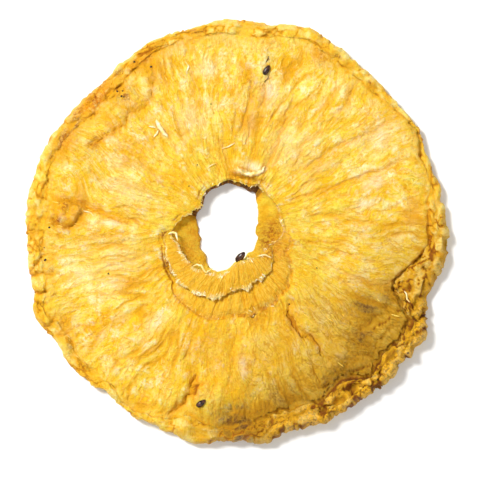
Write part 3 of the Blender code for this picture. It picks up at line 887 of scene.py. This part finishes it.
# The looks of the dried flesh. A pattern is (space, size per mm, detail, roughness), a line follows the
# middle value of a pattern, and a layer is (mask, pattern, start, end, least, most, colour), lowest first
fruit = {
    "base": "#f7cc22",
    "masks": (
        "crust", "rind", "ridge", "creamy", "hollow", "stain", "bruise", "amber", "pale", "ochre",
        "lip", "wall", "fringe", "crest", "shade",
    ),
    "patterns": {
        "cloud": ("place", 0.16, 4, 0.6), "mottle": ("place", 0.5, 5, 0.65),
        "grain": ("place", 1.5, 4, 0.7), "crackle": ("place", 0.34, 6, 0.65),
        "patch": ("place", 0.24, 6, 0.68), "streak": ("fibre", 1.1, 4, 0.6),
        "fine": ("fibre", 3.0, 4, 0.75), "drift": ("fibre", 0.55, 5, 0.62),
    },
    "lines": {"vein": "drift", "crack": "crackle"},
    "layers": (
        (None, "cloud", 0.40, 0.60, 0, 1, "#fbe04c"),
        (None, "patch", 0.47, 0.37, 0, 0.8, "#f8c216"),
        (None, "mottle", 0.50, 0.38, 0, 0.5, "#f5bc18"),
        # cream patches, partly painted highlight, fewer at the bottom and near the hole
        ("creamy", "patch", 0.52, 0.62, 0, 0.8, "#fdf0a8"),
        ("creamy", "streak", 0.48, 0.64, 0, 0.65, "#fde98e"),
        ("creamy", "fine", 0.54, 0.70, 0, 0.75, "#fdf0b4"),
        (None, "crack", 0.484, 0.5, 0, 0.55, "#e0960e"),
        (None, "grain", 0.46, 0.33, 0, 0.6, "#f0ae14"),
        (None, "vein", 0.470, 0.5, 0, 0.65, "#e6980c"),
        # painted highlight on the crumpled crests
        ("crest", "grain", 0.42, 0.58, 0.05, 0.85, "#fef2bc"),
        ("ochre", "cloud", 0, 1, 0.8, 0.8, "#c08e1c"),
        ("ochre", "mottle", 0.36, 0.6, 0, 0.8, "#e6bb42"),
        ("ochre", "vein", 0.465, 0.5, 0, 0.7, "#94680f"),
        ("pale", "fine", 0.35, 0.6, 0.45, 1, "#fdf0c8"),
        ("crust", "mottle", 0.3, 0.55, 0.4, 1, "#eeb222"),
        ("crust", "grain", 0.38, 0.62, 0, 1, "#fad648"),
        ("rind", "cloud", 0, 1, 1, 1, "#9a6912"),
        ("rind", "grain", 0.38, 0.54, 0, 1, "#f0b422"),
        # painted highlight on the crust's crests and the outer edge at the upper left
        ("ridge", "fine", 0.4, 0.6, 0.2, 0.9, "#fde68e"),
        ("lip", "cloud", 0, 1, 0.75, 0.75, "#edb01e"),
        ("lip", "fine", 0.44, 0.62, 0, 0.7, "#f9d25c"),
        ("lip", "fine", 0.50, 0.38, 0, 0.7, "#dc941a"),
        ("wall", "cloud", 0, 1, 0.9, 0.9, "#f4bc20"),
        ("wall", "mottle", 0.40, 0.60, 0, 0.8, "#ffde48"),
        # darker where amber lies on the hole's wall: painted shade, with some staining on the right
        ("wall", "amber", 0, 1, 0, 0.4, "#9c7a1c"),
        # orange: mostly painted shade in crevices, round creases and on steep flanks, with real orange
        # patches
        ("amber", "grain", 0.42, 0.57, 0.4, 1, "#e08810"),
        ("stain", "grain", 0.44, 0.54, 0.2, 1, "#9c5010"),
        ("bruise", "mottle", 0.35, 0.60, 0.55, 1, "#7c4f1e"),
        ("bruise", "grain", 0.46, 0.56, 0, 0.7, "#5a3314"),
        # painted shade: hollows, creases, crevices and the wall under the hole's edge go orange to dark
        # brown
        (None, "hollow", 0.12, 0.6, 0, 0.75, "#f0ac10"),
        ("ochre", "hollow", 0.15, 0.6, 0, 0.8, "#a97c16"),
        (None, "hollow", 0.5, 0.95, 0, 0.9, "#a4560c"),
        ("ochre", "hollow", 0.6, 1.0, 0, 0.7, "#623a10"),
        ("wall", "hollow", 0.5, 1.0, 0, 0.85, "#64400e"),
        ("shade", "mottle", 0.35, 0.6, 0.4, 1, "#80580f"),
        # pale torn edges, partly painted highlight
        ("fringe", "fine", 0.38, 0.6, 0.2, 1, "#fdeebc"),
    ),
    "bumps": (("fine", 0.7), ("grain", 1.2), ("mottle", 0.9), ("vein", -1.4), ("crack", -1.2)),
    "bumpHeight": 0.42, "sheenRange": (0.3, 0.7), "roughness": (0.36, 0.58),
    "IOR": 1.45, "specular": 0.2,
    "subsurface": 0.3, "subsurfaceRadius": (1.0, 0.6, 0.14), "subsurfaceScale": 0.8,
}


def setInputs(node, values):
    for name, value in values.items():
        node.inputs[name].default_value = value


def placeInMm(tree):
    where = addNode(tree, "ShaderNodeTexCoord").outputs["Object"]
    settings = {"operation": "SCALE", "Scale": 1 / mm}
    return addNode(tree, "ShaderNodeVectorMath", settings, {0: where}).outputs[0]


def driedFruit():
    # dried flesh: golden and waxy, with cream painted on the crests as a highlight and orange to brown
    # painted in the furrows as shade
    material, tree, shader = blankMaterial("airDriedPineapple")
    fibre = addNode(tree, "ShaderNodeAttribute", {"attribute_name": "fibre"}).outputs["Vector"]
    spaces = {"place": placeInMm(tree), "fibre": fibre}
    given = {}
    for name in fruit["masks"]:
        given[name] = addNode(tree, "ShaderNodeAttribute", {"attribute_name": name}).outputs["Fac"]
    for name, (space, scale, detail, roughness) in fruit["patterns"].items():
        settings = {"Scale": scale, "Detail": detail, "Roughness": roughness}
        given[name] = addNode(tree, "ShaderNodeTexNoise", settings, {"Vector": spaces[space]}).outputs["Fac"]
    for name, pattern in fruit["lines"].items():
        settings = {"operation": "PINGPONG", 1: 0.5}
        given[name] = addNode(tree, "ShaderNodeMath", settings, {0: given[pattern]}).outputs[0]

    base = addNode(tree, "ShaderNodeRGB")
    base.outputs[0].default_value = linear(fruit["base"])
    colour = base.outputs[0]
    for mask, pattern, start, end, least, most, tone in fruit["layers"]:
        settings = {"From Min": start, "From Max": end, "To Min": least, "To Max": most}
        amount = addNode(tree, "ShaderNodeMapRange", settings, {"Value": given[pattern]}).outputs["Result"]
        if mask:
            links = {0: given[mask], 1: amount}
            amount = addNode(tree, "ShaderNodeMath", {"operation": "MULTIPLY"}, links).outputs[0]
        settings = {"data_type": "RGBA", 7: linear(tone)}
        colour = addNode(tree, "ShaderNodeMix", settings, {0: amount, 6: colour}).outputs[2]
    tree.links.new(colour, shader.inputs["Base Color"])

    (start, end), (least, most) = fruit["sheenRange"], fruit["roughness"]
    settings = {"From Min": start, "From Max": end, "To Min": least, "To Max": most}
    sheen = addNode(tree, "ShaderNodeMapRange", settings, {"Value": given["fine"]})
    tree.links.new(sheen.outputs["Result"], shader.inputs["Roughness"])
    setInputs(shader, {
        "IOR": fruit["IOR"], "Specular IOR Level": fruit["specular"],
        "Subsurface Weight": fruit["subsurface"], "Subsurface Radius": fruit["subsurfaceRadius"],
        "Subsurface Scale": fruit["subsurfaceScale"] * mm,
    })
    height = given["grain"]
    for name, share in fruit["bumps"]:
        settings = {"operation": "MULTIPLY_ADD", 1: share}
        height = addNode(tree, "ShaderNodeMath", settings, {0: given[name], 2: height}).outputs[0]
    settings = {"Strength": 1.0, "Distance": fruit["bumpHeight"] * mm}
    bump = addNode(tree, "ShaderNodeBump", settings, {"Height": height})
    tree.links.new(bump.outputs["Normal"], shader.inputs["Normal"])
    return material


# The husk and the loose fibres: two tones, their pattern's size per mm, roughness and clearness
small = {
    "seedHusk": {"tones": ("#1c0f0a", "#553424"), "size": 1.6, "roughness": 0.26, "subsurface": 0.0},
    "creamFibre": {"tones": ("#f3cd6c", "#fdf1cd"), "size": 0.7, "roughness": 0.55, "subsurface": 0.2},
    "goldenFibre": {"tones": ("#f3b42a", "#f9d264"), "size": 0.7, "roughness": 0.55, "subsurface": 0.2},
}


def smallMaterial(name):
    # a seed's hard brown skin is slightly glossy; a thin dry fibre lets some light through
    material, tree, shader = blankMaterial(name)
    chosen = small[name]
    settings = {"Scale": chosen["size"], "Detail": 3, "Roughness": 0.6}
    mottle = addNode(tree, "ShaderNodeTexNoise", settings, {"Vector": placeInMm(tree)}).outputs["Fac"]
    amount = addNode(tree, "ShaderNodeMapRange", {"From Min": 0.4, "From Max": 0.62}, {"Value": mottle})
    dark, light = chosen["tones"]
    settings = {"data_type": "RGBA", 6: linear(dark), 7: linear(light)}
    colour = addNode(tree, "ShaderNodeMix", settings, {0: amount.outputs["Result"]}).outputs[2]
    tree.links.new(colour, shader.inputs["Base Color"])
    setInputs(shader, {
        "Roughness": chosen["roughness"], "IOR": 1.45, "Specular IOR Level": 0.4,
        "Subsurface Weight": chosen["subsurface"], "Subsurface Scale": 0.5 * mm,
    })
    return material


def restOn(top, x, y):
    # the point of the upper surface nearest to a place in the plan
    away = np.hypot(top[..., 0] - x, top[..., 1] - y)
    return top.reshape(-1, 3)[away.argmin()]


def newObject(name, data):
    made = bpy.data.objects.new(name, data)
    bpy.context.scene.collection.objects.link(made)
    return made


def closedMesh(name, sheet, material):
    bmesh.ops.recalc_face_normals(sheet, faces=sheet.faces)
    mesh = bpy.data.meshes.new(name)
    sheet.to_mesh(mesh)
    sheet.free()
    mesh.shade_smooth()
    mesh.materials.append(material)
    print(name, "made", len(mesh.polygons))
    return newObject(name, mesh)


def addBlob(sheet, centre, size, heading, tilt=0.0, taper=0.0, finer=3):
    # a drop with its thin end along +X, turned and laid at its centre
    made = bmesh.ops.create_icosphere(sheet, subdivisions=finer, radius=0.5)
    turn = Matrix.Rotation(math.radians(heading), 3, "Z") @ Matrix.Rotation(math.radians(-tilt), 3, "Y")
    for vert in made["verts"]:
        pinch = 1 - taper * (vert.co.x + 0.5)
        local = Vector((vert.co.x * size[0], vert.co.y * size[1] * pinch, vert.co.z * size[2] * pinch))
        vert.co = (turn @ local + Vector(centre)) * mm


# Seeds where the solid has them: sizes, and those in the flesh as (angle, radius, heading)
seeds = {
    "size": (2.4, 1.5, 1.15), "wallSize": (2.9, 1.8, 1.4), "taper": 0.35,
    "flesh": ((79.3, 35.4, 60), (258.5, 37.6, 35)), "rise": 0.2,
    "wallAngle": 280, "wallHeight": 3.3, "wallHeading": 48, "wallTilt": 12, "wallReturn": 0.8,
    "pitScale": 2.4, "pitDepth": 0.09,
}


def makeSeeds(top, material):
    sheet = bmesh.new()
    for angle, radius, heading in seeds["flesh"]:
        x, y = flatPlace(angle, radius)
        height = restOn(top, x, y)[2] + seeds["rise"]
        addBlob(sheet, (x, y, height), seeds["size"], heading, 0, seeds["taper"])
    inHole = holeRadius(np.array([float(seeds["wallAngle"])]))[0] - seeds["wallReturn"]
    x, y = flatPlace(seeds["wallAngle"], inHole)
    centre = (x, y, seeds["wallHeight"])
    addBlob(sheet, centre, seeds["wallSize"], seeds["wallHeading"], seeds["wallTilt"], seeds["taper"])
    for vert in sheet.verts:
        pit = noise.noise(vert.co / mm * seeds["pitScale"])
        vert.co += vert.normal * pit * seeds["pitDepth"] * mm
    return closedMesh("brownSeeds", sheet, material)


# Dark specks on the skin, as (x, y, diameter)
specks = (
    (-40.2, 0.9, 0.55), (-41.2, -5.9, 0.65), (-27.5, -9, 0.42), (-41.2, -3.2, 0.3),
    (-43.2, -13, 0.4), (-18.1, 35.5, 0.6), (-9.9, 9.8, 0.3), (-8.4, 14.6, 0.3), (-25.4, 30.1, 0.5),
    (-24.3, 30.3, 0.42), (-24.6, 29.3, 0.55), (-23.9, 29.1, 0.42), (-21.8, 36.6, 0.6),
    (17.3, -7.8, 0.35), (36.3, -23.9, 0.5), (36.9, -26.2, 0.5), (30.5, -31.6, 0.5),
    (11.6, -15.7, 0.4), (-5.3, 27.5, 0.3), (7.1, 34.9, 0.35),
)


def makeSpecks(top, material):
    sheet = bmesh.new()
    for index, (x, y, size) in enumerate(specks):
        x, y, height = restOn(top, x, y)
        addBlob(sheet, (x, y, height + 0.05), (size, size * 0.75, size * 0.35), index * 40, finer=2)
    return closedMesh("darkSpecks", sheet, material)


def addShred(sheet, top, points, width, lift=0.2):
    # a flat tapering strip through (x, y) points, lying on the flesh
    places = [Vector(restOn(top, x, y)) for x, y in points]
    for place, (x, y) in zip(places, points):
        place.x, place.y = x, y
    line = []
    for start, end in zip(places, places[1:]):
        line += [start.lerp(end, step / 5) for step in range(5)]
    line.append(places[-1])
    loops = []
    for index, place in enumerate(line):
        ahead = line[min(index + 1, len(line) - 1)] - line[max(index - 1, 0)]
        side = Vector((-ahead.y, ahead.x, 0)).normalized()
        t = index / (len(line) - 1)
        full = max(math.sin(math.pi * t) ** 0.5, 0.12) * width / 2
        wander = 0.25 * width * noise.noise(place * 1.7)
        middle = place + side * wander + Vector((0, 0, lift + 0.12 * noise.noise(place * 1.1)))
        across = (side * full, Vector((0, 0, full * 0.55)))
        corners = (middle + across[0], middle + across[1], middle - across[0], middle - across[1])
        loops.append([sheet.verts.new(corner * mm) for corner in corners])
    for near, far in zip(loops, loops[1:]):
        for corner in range(4):
            after = (corner + 1) % 4
            sheet.faces.new((near[corner], near[after], far[after], far[corner]))
    sheet.faces.new(loops[0])
    sheet.faces.new(loops[-1])


# Pale shreds and loose fibres, as ((x, y) points, width)
shreds = (
    (((-17.2, 24.3), (-16.4, 22.6), (-14.7, 20.2)), 1.1),
    (((-18.8, 22.8), (-17.3, 22.4)), 0.4),
    (((-16.7, 21.9), (-17, 21.2), (-17.7, 20.4)), 0.45),
    (((-3.1, 17.9), (-1.6, 18.4), (-0.2, 19.2)), 0.3),
    (((-6.3, 13.7), (-5.2, 14.4), (-4.2, 14.8)), 0.32),
    (((-9.3, -7.3), (-8.4, -7), (-7.5, -7.2), (-6.4, -8.8), (-5, -7.7)), 0.5),
    (((-14.6, -0.4), (-13.6, 0), (-12.9, -0.4), (-12.5, -1.9)), 0.55),
    (((4.6, -5.2), (6.2, -4.9), (7.7, -5.6)), 0.4),
    (((-10.8, 36.6), (-10.2, 35.6), (-10.6, 34.6)), 0.4),
    (((-32.9, 4.6), (-31.3, 4.2), (-30.4, 3.2)), 0.35),
    (((36.2, -12.6), (36.7, -13.5), (36.8, -14.5), (37.4, -15.1)), 0.38),
    (((0.3, 14), (0.8, 13.2), (1.8, 12.6), (3.2, 12.35), (4.6, 12.5), (5.6, 13), (6.3, 14.2)), 1),
)
hairs = (
    (((6.9, 33.8), (6.9, 33.1), (6.3, 32.5), (6.1, 32.1)), 0.16),
    (((6.4, 36.4), (6.9, 37.2), (7.0, 37.9)), 0.2),
)


def makeShreds(name, lines, top, material):
    sheet = bmesh.new()
    for points, width in lines:
        addShred(sheet, top, points, width)
    return closedMesh(name, sheet, material)


# Short fibres, as density per square millimetre and least and greatest (length, width, thickness)
fibres = {
    "fringe": {
        "density": 9.0, "least": (0.5, 0.10, 0.10), "most": (1.3, 0.20, 0.18), "spread": 0.7, "seed": 3,
    },
    "strand": {
        "density": 0.2, "least": (0.8, 0.12, 0.07), "most": (2.6, 0.26, 0.14), "spread": 0.45, "seed": 8,
    },
}


def fibreTree():
    # spindles scattered over the ring where an attribute is high, lying along the fibres
    tree = bpy.data.node_groups.new("fibreScatter", "GeometryNodeTree")
    sockets = {
        "Ring": "Object", "Where": "String", "Density": "Float", "Least Size": "Vector",
        "Greatest Size": "Vector", "Spread": "Float", "Seed": "Int", "Material": "Material",
    }
    for name, kind in sockets.items():
        tree.interface.new_socket(name, in_out="INPUT", socket_type="NodeSocket" + kind)
    tree.interface.new_socket("Geometry", in_out="OUTPUT", socket_type="NodeSocketGeometry")
    given = tree.nodes.new("NodeGroupInput").outputs
    body = addNode(tree, "GeometryNodeObjectInfo", {}, {"Object": given["Ring"]}).outputs["Geometry"]
    where = addNode(
        tree, "GeometryNodeInputNamedAttribute", {"data_type": "FLOAT"}, {"Name": given["Where"]},
    )
    amount = addNode(tree, "ShaderNodeMath", {"operation": "MULTIPLY"}, {
        0: where.outputs[0], 1: given["Density"],
    })
    points = addNode(tree, "GeometryNodeDistributePointsOnFaces", {}, {
        "Mesh": body, "Density": amount.outputs[0], "Seed": given["Seed"],
    })
    place = addNode(tree, "GeometryNodeInputPosition").outputs[0]
    outward = addNode(tree, "ShaderNodeVectorMath", {"operation": "NORMALIZE"}, {0: place}).outputs[0]
    back = addNode(tree, "ShaderNodeMath", {"operation": "MULTIPLY", 1: -1.0}, {0: given["Spread"]})
    stray = addNode(tree, "FunctionNodeRandomValue", {"data_type": "FLOAT_VECTOR"}, {
        "Min": back.outputs[0], "Max": given["Spread"], "Seed": given["Seed"],
    })
    aim = addNode(tree, "ShaderNodeVectorMath", {"operation": "ADD"}, {0: outward, 1: stray.outputs[0]})
    lie = addNode(tree, "FunctionNodeAlignRotationToVector", {"axis": "X", "pivot_axis": "Z"}, {
        "Rotation": points.outputs["Rotation"], "Vector": aim.outputs[0],
    })
    size = addNode(tree, "FunctionNodeRandomValue", {"data_type": "FLOAT_VECTOR"}, {
        "Min": given["Least Size"], "Max": given["Greatest Size"], "Seed": given["Seed"],
    })
    spindle = addNode(tree, "GeometryNodeMeshUVSphere", {"Segments": 6, "Rings": 5, "Radius": 0.5 * mm})
    placed = addNode(tree, "GeometryNodeInstanceOnPoints", {}, {
        "Points": points.outputs["Points"], "Instance": spindle.outputs["Mesh"],
        "Rotation": lie.outputs[0], "Scale": size.outputs[0],
    })
    real = addNode(tree, "GeometryNodeRealizeInstances", {}, {"Geometry": placed.outputs[0]})
    covered = addNode(tree, "GeometryNodeSetMaterial", {}, {
        "Geometry": real.outputs[0], "Material": given["Material"],
    })
    tree.links.new(covered.outputs[0], tree.nodes.new("NodeGroupOutput").inputs[0])
    return tree


def makeFibres(name, kind, tree, body, material):
    settings = fibres[kind]
    holder = newObject(name, bpy.data.meshes.new(name))
    scatter = holder.modifiers.new("scatter", "NODES")
    scatter.node_group = tree
    values = {
        "Ring": body, "Where": kind, "Density": settings["density"] * 1e6,
        "Least Size": settings["least"], "Greatest Size": settings["most"],
        "Spread": settings["spread"], "Seed": settings["seed"], "Material": material,
    }
    for item in tree.interface.items_tree:
        if item.name in values:
            scatter[item.identifier] = values[item.name]
    seen = holder.evaluated_get(bpy.context.evaluated_depsgraph_get())
    mesh = bpy.data.meshes.new_from_object(seen)
    holder.modifiers.clear()
    holder.data = mesh
    mesh.shade_smooth()
    print(name, "made", len(mesh.polygons))
    return holder


# The floor, the light and the camera, in metres and watts. The camera looks straight down, and one
# pixel of the picture is as wide on the ring as in the photo
stage = {
    "floorSize": 3, "floorTone": "#f4f3f1", "floorRoughness": 0.8, "worldStrength": 0.50,
    "lights": {
        "keyLight": (0.26, 12.4, (-0.46, 0.40, 0.80)),
        "fillLight": (0.6, 1.0, (0.3, -0.35, 0.5)),
    },
    "pixel": 0.215 * mm, "pixelsAcross": 492, "aside": (10, -10.5), "distance": 0.6,
    "sharpHeight": 0.004, "sensor": 36,
}


def makeStage():
    bpy.ops.mesh.primitive_plane_add(size=stage["floorSize"])
    floor = bpy.context.object
    floor.name = "paleFloor"
    material, _, shader = blankMaterial("mattPaper")
    setInputs(shader, {"Base Color": linear(stage["floorTone"]), "Roughness": stage["floorRoughness"]})
    floor.data.materials.append(material)


def makeLights():
    for name, (size, power, place) in stage["lights"].items():
        data = bpy.data.lights.new(name, "AREA")
        data.shape = "DISK"
        data.size = size
        data.energy = power
        lamp = newObject(name, data)
        lamp.location = place
        lamp.rotation_euler = (-Vector(place)).to_track_quat("-Z", "Y").to_euler()
    world = bpy.data.worlds.new("studio")
    world.use_nodes = True
    background = world.node_tree.nodes["Background"]
    setInputs(background, {"Color": (1, 1, 1, 1), "Strength": stage["worldStrength"]})
    bpy.context.scene.world = world


def makeCamera():
    centre = -outlineCentre() * mm
    across = stage["pixelsAcross"] * stage["pixel"]
    asideX, asideY = stage["aside"]
    data = bpy.data.cameras.new("topView")
    data.sensor_width = stage["sensor"]
    data.lens = stage["sensor"] * (stage["distance"] - stage["sharpHeight"]) / across
    camera = newObject("topView", data)
    camera.location = (
        centre[0] + asideX * stage["pixel"], centre[1] + asideY * stage["pixel"], stage["distance"],
    )
    bpy.context.scene.camera = camera


def main():
    body, top = makeRing()
    body.data.materials.append(driedFruit())
    husk, paleFibre, goldFibre = (smallMaterial(name) for name in small)
    tree = fibreTree()
    pieces = [
        makeSeeds(top, husk),
        makeSpecks(top, husk),
        makeShreds("paleShreds", shreds, top, paleFibre),
        makeShreds("darkHairs", hairs, top, husk),
        makeFibres("edgeFringe", "fringe", tree, body, paleFibre),
        makeFibres("fleshStrands", "strand", tree, body, goldFibre),
    ]
    offset = -outlineCentre() * mm
    for piece in pieces[:4]:
        piece.data.transform(Matrix.Translation(offset))
    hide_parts("pineapple_ring")
    for piece in [body] + pieces:
        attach(piece, "root")
    makeStage()
    makeLights()
    makeCamera()
    bpy.context.scene.view_settings.view_transform = "Standard"


main()
